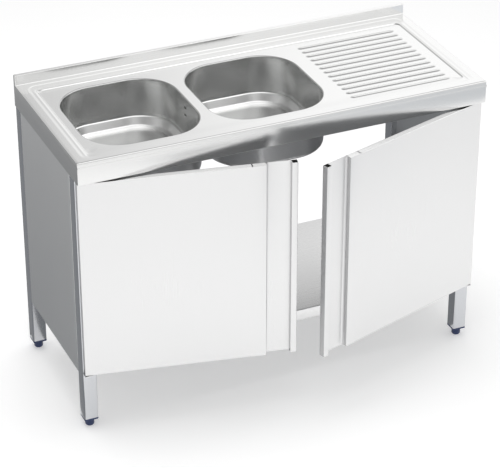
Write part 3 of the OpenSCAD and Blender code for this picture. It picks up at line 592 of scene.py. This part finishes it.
# Bowls
# Two bowls drawn from 1 mm sheet and welded flush under the worktop's rim. The wall ends
# in a groove and a small step, then rounds into the floor, and the waste sits in the
# middle. The left bowl has two overflow slots in its right wall.
FLOOR_Z, FLOOR_EDGE_Z, UNDER_Z, WASTE_R = 697.0, 710.0, 696.0, 45.5
GROOVE_Z, STEP_Z = 742.5, 734.4
SLOT_LOWS, SLOT_HIGH, SLOT_Y = (816.5, 794.5), 5.0, (-13.0, 0.0)
# Profiles of (inset, height), with a point at each edge of the slots
inside_profile = bent(
    [(-BOWL_LIP, FIELD_Z), (0, FIELD_Z), *[(0, low + high) for low in SLOT_LOWS for high in (SLOT_HIGH, 0)],
     (0, GROOVE_Z), (2.2, STEP_Z), (5.4, STEP_Z - 1.8), (14.6, FLOOR_EDGE_Z), (30, FLOOR_EDGE_Z)],
    [0, BOWL_LIP - 0.01, 0, 0, 0, 0, 3.0, 1.0, 1.2, 6.0, 0], 7)
outside_profile = bent([(-BOWL_LIP, FIELD_Z), (-5, 845.5), (-5, UNDER_Z), (30, UNDER_Z)], [0, 0, 18, 0], 7)
sill = np.argmin(np.abs(inside_profile[:, 1] - STEP_Z))
# One steel in lighter and darker copies: the wall's is darker, painted shade, and the floor's and the step
# ring's are lighter, painted light; their roughness differs a little too
underside_steel = brushed_steel("bowl underside", (0.78, 0.78, 0.785), 0.30, (40, 40, 40), 0.06)
shaded_bowl_wall_steel = brushed_steel("bowl wall steel painted shade", (0.62, 0.625, 0.62), 0.27, (260, 260, 12), 0.010, 0.01, 0.0)
lit_bowl_floor_steel = brushed_steel("bowl floor steel painted light", (0.80, 0.80, 0.795), 0.25, (20, 260, 260), 0.03, 0.03, 0.0)
lit_bowl_step_steel = brushed_steel("bowl step steel painted highlight", (0.92, 0.92, 0.915), 0.30, (260, 260, 12), 0.010, 0.01, 0.0)
for side, x in BOWL_X.items():
    # Steps of 7 mm on the straight sides, so that the slots are two steps wide
    loop = round_the_corners(BOWL_HALF_X, BOWL_HALF_Y, BOWL_CORNER, 24, 20)
    wall = carried_round(loop, inside_profile)
    last = wall[:, -1, :2]
    angle = np.arctan2(last[:, 1], last[:, 0])
    ring = WASTE_R * np.stack([np.cos(angle), np.sin(angle)], 1)
    # The floor runs from the wall to the waste and falls by a sine squared
    way = np.linspace(0, 1, 12)[None, :, None]
    floor = last[:, None] * (1 - way) + ring[:, None] * way
    fall = FLOOR_EDGE_Z + (FLOOR_Z - FLOOR_EDGE_Z) * np.sin(way * math.pi / 2) ** 2
    floor = np.concatenate([floor, np.broadcast_to(fall, floor.shape[:2] + (1,))], 2)
    # The outside keeps the plain pan's shape and closes under the lip and at the waste
    outside = carried_round(loop, outside_profile)
    ring = np.concatenate([ring, np.full((len(ring), 1), UNDER_Z)], 1)
    under = np.stack([outside[:, -1], ring], 1)
    edge = np.stack([floor[:, -1], ring], 1)
    grids = [wall[:, : sill + 1], wall[:, sill:], floor, outside, under, edge]
    # The slots are boxes through the right wall
    slots = []
    if side == "left":
        slots = [((x + BOWL_HALF_X - 5, SLOT_Y[0], low), (x + BOWL_HALF_X + 7, SLOT_Y[1], low + SLOT_HIGH))
                 for low in SLOT_LOWS]
    # The upper wall takes the painted shade, and the step ring and the floor the painted light
    bowl = sheet_piece("bowl_%s_shell" % side, [grid + (x, BOWL_Y, 0) for grid in grids],
                       ((x, 100, FLOOR_Z), (0, 0, 1)), slots=slots, finish=(0, 3, 2, 1, 1, 1))
    for material in (shaded_bowl_wall_steel, underside_steel, lit_bowl_floor_steel, lit_bowl_step_steel):
        bowl.data.materials.append(material)
    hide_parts("bowl_" + side)
    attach(bowl, "cabinet")


# Legs
# Four 40 mm square tubes of 1.5 mm steel, welded along one edge and ground smooth. The
# rails are screwed between their tops, under the worktop.
LEG_X, LEG_YS, LEG_HALF, LEG_LOW, LEG_TOP = 578.5, {"front": -195.0, "rear": 240.5}, 20.0, 30.0, 845.8
leg_steel = brushed_steel("leg steel", (0.58, 0.59, 0.61), 0.16, (700, 700, 8), 0.05, 0.06, 0.01)
for end, y in LEG_YS.items():
    for side, x in (("left", -LEG_X), ("right", LEG_X)):
        loop = round_the_corners(LEG_HALF, LEG_HALF, 3.0, 6, 2)
        tube = carried_round(loop, np.array([(0, LEG_LOW), (0, 300.0), (0, 600.0), (0, LEG_TOP)])) + (x, y, 0)
        leg = sheet_piece("leg_%s_%s_tube" % (end, side), [tube], ((x + LEG_HALF, y, 450), (1, 0, 0)), 1.5)
        leg.data.materials.append(leg_steel)
        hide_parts("leg_%s_%s" % (end, side))
        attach(leg, "cabinet")


# Feet
# Blue moulded plastic: a flanged plug pressed into each leg, and a round foot on a
# threaded stud that screws up into it to level the cabinet.
def moulded_plastic(name, colour, rough):
    """A moulded plastic with a fine eggshell grain."""
    material = bpy.data.materials.new(name)
    nodes, links = node_tree(material)
    place = nodes.new("ShaderNodeTexCoord")
    grain = nodes.new("ShaderNodeTexNoise")
    grain.inputs["Scale"].default_value = 900.0
    grain.inputs["Detail"].default_value = 2.0
    links.new(place.outputs["Object"], grain.inputs["Vector"])
    tone = nodes.new("ShaderNodeMix")
    tone.data_type = "RGBA"
    tone.inputs["A"].default_value = (*[0.85 * c for c in colour], 1)
    tone.inputs["B"].default_value = (*[1.15 * c for c in colour], 1)
    links.new(grain.outputs["Fac"], tone.inputs["Factor"])
    wear = nodes.new("ShaderNodeMapRange")
    wear.inputs["To Min"].default_value = rough - 0.08
    wear.inputs["To Max"].default_value = rough + 0.08
    links.new(grain.outputs["Fac"], wear.inputs["Value"])
    relief = nodes.new("ShaderNodeBump")
    relief.inputs["Strength"].default_value = 0.15
    relief.inputs["Distance"].default_value = 0.0003
    links.new(grain.outputs["Fac"], relief.inputs["Height"])
    shader = nodes.new("ShaderNodeBsdfPrincipled")
    links.new(tone.outputs["Result"], shader.inputs["Base Color"])
    links.new(wear.outputs[0], shader.inputs["Roughness"])
    links.new(relief.outputs[0], shader.inputs["Normal"])
    links.new(shader.outputs[0], nodes.new("ShaderNodeOutputMaterial").inputs["Surface"])
    return material


blue_plastic = moulded_plastic("blue foot plastic", (0.018, 0.036, 0.115), 0.42)
# Profiles of (inset, height): the plug has a flange under the tube and a shank up inside
# it, and the foot a worn edge below and a stud above
FOOT_R, PLUG_LOW, PLUG_HIGH, STUD_TOP = 13.0, 24.0, 54.0, 48.0
plug_profile = bent(
    [(LEG_HALF, PLUG_LOW), (0, PLUG_LOW), (0, LEG_LOW), (1.7, LEG_LOW), (1.7, PLUG_HIGH),
     (LEG_HALF, PLUG_HIGH)],
    [0, 1.2, 0.6, 0, 0.8, 0], 3)[1:-1]
foot_profile = bent(
    [(4, 0), (3, 0), (0, 4), (0, PLUG_LOW - 0.3), (8, PLUG_LOW - 0.3), (8, STUD_TOP), (9, STUD_TOP)],
    [0, 0.8, 2, 1.2, 0, 0.5, 0], 3)
for end, y in LEG_YS.items():
    for side, x in (("left", -LEG_X), ("right", LEG_X)):
        plug = carried_round(round_the_corners(LEG_HALF, LEG_HALF, 3.2, 6, 2), plug_profile) + (x, y, 0)
        insert = sheet_piece("plug_%s_%s" % (end, side), [plug], ((x + LEG_HALF, y, 27), (1, 0, 0)), 0.0,
                             [plug[:-1, 0], plug[:-1, -1]])
        insert.data.materials.append(blue_plastic)
        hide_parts("foot_insert_%s_%s" % (end, side))
        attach(insert, "cabinet")
        turned = carried_round(round_the_corners(FOOT_R, FOOT_R, FOOT_R, 10, 1), foot_profile) + (x, y, 0)
        foot = sheet_piece("foot_%s_%s_turned" % (end, side), [turned], ((x + FOOT_R, y, 14), (1, 0, 0)), 0.0,
                           [turned[:-1, 0], turned[:-1, -1]])
        foot.data.materials.append(blue_plastic)
        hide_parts("levelling_foot_%s_%s" % (end, side))
        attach(foot, "foot_%s_%s" % (end, side))


# Side panels
# Each end is closed by a shallow tray of 1 mm steel between the legs, with a flat liner
# spot-welded inside it.
panel_steel = brushed_steel("panel steel", (0.78, 0.78, 0.775), 0.48, (700, 700, 8), 0.03, 0.05, 0.01)
PANEL_LOW, PANEL_HIGH, PANEL_FRONT, PANEL_BACK = 168.0, 841.8, -175.0, 220.5
PANEL_IN, PANEL_OUT = 577.6, 598.5
for side, sign in (("left", -1), ("right", 1)):
    loop = round_the_corners((PANEL_BACK - PANEL_FRONT) / 2, (PANEL_HIGH - PANEL_LOW) / 2, 2.0, 3, 8)
    rim = bent([(0, PANEL_IN), (0, PANEL_OUT), (2.0, PANEL_OUT)], [0, 1.5, 0], 5)
    tray = carried_round(loop, rim)
    # Carried round level, then stood on edge: its height becomes the distance sideways
    y, z = tray[..., 0] + (PANEL_FRONT + PANEL_BACK) / 2, tray[..., 1] + (PANEL_LOW + PANEL_HIGH) / 2
    tray = np.stack([sign * tray[..., 2], y, z], 2)
    face = ((sign * PANEL_OUT, 0, 500), (sign, 0, 0))
    panel = sheet_piece("panel_" + side, [tray], face, 1.0, [tray[:-1, -1]])
    panel.data.materials.append(panel_steel)
    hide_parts("side_panel_" + side)
    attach(panel, "cabinet")


# Shelf
# One folded sheet: its front and back edges turn down and in, and its ends turn down
# against the liners, where screws hold it.
shelf_steel = brushed_steel("shelf steel", (0.78, 0.78, 0.78), 0.28, (6, 800, 800), 0.05)
SHELF_Z, SHELF_LOW, SHELF_FRONT, SHELF_BACK, SHELF_LIP, SHELF_BEND = 223.0, 188.0, -213.0, 237.0, 10.0, 1.8
SHELF_END, SHELF_NOTCH = 576.5, 558.2
edge = bent(
    [(SHELF_FRONT + SHELF_LIP, SHELF_LOW), (SHELF_FRONT, SHELF_LOW), (SHELF_FRONT, SHELF_Z),
     (SHELF_BACK, SHELF_Z), (SHELF_BACK, SHELF_LOW), (SHELF_BACK - SHELF_LIP, SHELF_LOW)],
    [0, SHELF_BEND, SHELF_BEND, SHELF_BEND, SHELF_BEND, 0], 4)
grids = [carried_along(edge, np.linspace(-SHELF_NOTCH, SHELF_NOTCH, 13))]
# Between the legs the ends reach out to the liners
end = bent([(SHELF_NOTCH, SHELF_Z), (SHELF_END, SHELF_Z), (SHELF_END, SHELF_LOW)], [0, SHELF_BEND, 0], 4)
stations = np.linspace(PANEL_FRONT + 0.3, PANEL_BACK - 0.3, 5)
for sign in (-1, 1):
    grids.append(carried_along(end * (sign, 1), stations, (0, 2, 1)))
shelf = sheet_piece("shelf", grids, ((0, 0, SHELF_Z), (0, 0, 1)), 1.2)
shelf.data.materials.append(shelf_steel)
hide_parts("bottom_shelf")
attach(shelf, "cabinet")


# Doors
# Each door is a folded tray of 1 mm steel. Its face turns back at the fold into a
# recessed finger strip with a lip along the free edge, and flanges close its top and
# bottom as far as a small welded tab beside the fold.
DOOR_LOW, DOOR_HIGH, DOOR_WIDE = 187.0, 781.0, 590.0
PIVOT_X, PIVOT_Y, PIVOT_U, PIVOT_V, AJAR = 590.5, -229.0, 6.5, 6.0, {"left": 11.7, "right": 17.7}
door_steel = brushed_steel("door steel", (0.74, 0.74, 0.74), 0.30, (700, 700, 6), 0.03)
# The door's top edges and tabs take a white copy of its steel as painted highlight, and the returns a darker
# copy as painted shade
highlight_edge_steel = brushed_steel("door edge steel painted highlight", (1.0, 1.0, 1.0), 0.24, (6, 700, 700), 0.03)
shaded_return_steel = brushed_steel("door return steel painted shade", (0.54, 0.54, 0.545), 0.30, (700, 700, 6), 0.03)


def on_door(grid, side):
    """Puts (u, v, z), with u from the hinge edge and v back from the face, at its place on
    the ajar door: turned about the pivot line, then mirrored for the right."""
    angle = math.radians(AJAR[side])
    u, v = grid[..., 0] - PIVOT_U, grid[..., 1] - PIVOT_V
    x = -PIVOT_X + u * math.cos(angle) + v * math.sin(angle)
    y = PIVOT_Y - u * math.sin(angle) + v * math.cos(angle)
    return np.stack([x if side == "left" else -x, y, grid[..., 2]], -1)


# Along the door: where the flanges end, the fold and the lip; across it: flange and recess
FLANGE_END, FOLD, LIP_U, FLANGE, RECESS, RETURN = 465.0, 505.0, 573.0, 17.0, 16.0, 1.2
plan = bent(
    [(0, FLANGE), (0, 0), (FLANGE_END, 0), (FLANGE_END + 0.5, 0), (FOLD, 0), (FOLD, RECESS), (LIP_U, RECESS),
     (LIP_U, 0), (DOOR_WIDE, 0), (DOOR_WIDE, FLANGE)],
    [0, RETURN, 0, 0, RETURN, 8, 1.0, 1.0, RETURN, 0], 5)
for side in AJAR:
    flanged = (plan[:, 0] > RETURN - 0.1) & (plan[:, 0] < FLANGE_END + 0.1)
    top = np.where(flanged, DOOR_HIGH - RETURN, DOOR_HIGH)
    low = np.where(flanged, DOOR_LOW + RETURN, DOOR_LOW)
    rise = np.linspace(0, 1, 9)[:, None]
    z = low + rise * (top - low)
    body = np.concatenate([np.broadcast_to(plan[None], (9,) + plan.shape), z[..., None]], 2)
    grids = [on_door(body, side)]
    run = plan[flanged][:, 0]
    for edge_z, way in ((DOOR_HIGH, 1), (DOOR_LOW, -1)):
        fold = bent([(0, edge_z - way * RETURN), (0, edge_z), (FLANGE, edge_z)], [0, RETURN - 0.01, 0], 4)
        grids.append(on_door(carried_along(fold, run), side))
    spot = on_door(np.array([250.0, 0, 480.0]), side)
    way = on_door(np.array([250.0, -1, 480.0]), side) - spot
    door = sheet_piece("door_" + side + "_sheet", grids, (spot, way), 1.0)
    for material in (door_steel, highlight_edge_steel, shaded_return_steel):
        door.data.materials.append(material)
    # The turned edges on top take a white copy of the steel (material 1), a painted
    # highlight, and the narrow returns of the recess and the lip a darker copy (2), painted
    # shade: they face along the door, towards or from its hinge
    middles, facing = np.empty((2, 3 * len(door.data.polygons)))
    door.data.polygons.foreach_get("center", middles)
    door.data.polygons.foreach_get("normal", facing)
    middles, facing = middles.reshape(-1, 3), facing.reshape(-1, 3)
    along = on_door(np.array([251.0, 0, 480.0]), side) - spot
    returns = (np.abs(facing @ along) > 0.7) & ((middles * 1000 - spot) @ along > 200)
    finish = np.where(returns, 2, middles[:, 2] > (DOOR_HIGH - 0.6) / 1000)
    door.data.polygons.foreach_set("material_index", finish.astype(np.int32))
    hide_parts("door_skin_" + side)
    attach(door, "door_" + side)


# Rails, stiffeners, liners, brackets and fixings
# The folded rails, hat-shaped stiffeners and inner sheets keep their worked shapes and
# take the finish of the metal that they are cut from, but the inner sheets' steel is
# darker: painted shade for the dim inside of the cupboard.
shaded_inner_steel = brushed_steel("inner sheet steel painted shade", (0.62, 0.625, 0.63), 0.34, (700, 700, 8), 0.06)
rail_steel = brushed_steel("rail steel", (0.70, 0.70, 0.71), 0.36, (8, 700, 700), 0.06)
zinc_steel = brushed_steel("zinc-coated steel", (0.55, 0.56, 0.58), 0.45, (120, 120, 120), 0.22, 0.2, 0.05)
bolt_steel = brushed_steel("bolt steel", (0.66, 0.66, 0.66), 0.22, (300, 300, 300), 0.08)
waste_steel = brushed_steel("waste steel", (0.78, 0.78, 0.78), 0.16, (200, 200, 200), 0.06)
white_plastic = moulded_plastic("white pipe plastic", (0.78, 0.78, 0.76), 0.40)
black_plastic = moulded_plastic("black plastic", (0.025, 0.025, 0.027), 0.45)
black_rubber = moulded_plastic("black rubber", (0.03, 0.03, 0.03), 0.70)
finishes = {
    # The liners take the painted shade
    shaded_inner_steel: ["side_liner_left", "side_liner_right", "door_liner_left", "door_liner_right"],
    # The tabs take the painted highlight of the door edges
    highlight_edge_steel: ["door_tabs_left", "door_tabs_right"],
    rail_steel: ["front_rail", "rear_rail", "pivot_bracket_top_left", "pivot_bracket_top_right",
                 "pivot_bracket_bottom_left", "pivot_bracket_bottom_right"],
    zinc_steel: ["top_stiffener", "shelf_stiffener"],
    bolt_steel: ["rail_screws", "shelf_screws", "catch_screws", "pivot_pins_left", "pivot_pins_right",
                 "strike_plate_left", "strike_plate_right"],
    waste_steel: ["waste_body_left", "waste_body_right", "waste_basket_left", "waste_basket_right"],
    white_plastic: ["waste_nuts", "overflow_elbow", "overflow_pipe"],
    black_plastic: ["pivot_bushes_left", "pivot_bushes_right", "catch_left", "catch_right"],
    black_rubber: ["waste_gaskets"],
}
for material, names in finishes.items():
    for name in names:
        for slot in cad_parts[name].material_slots:
            slot.material = material
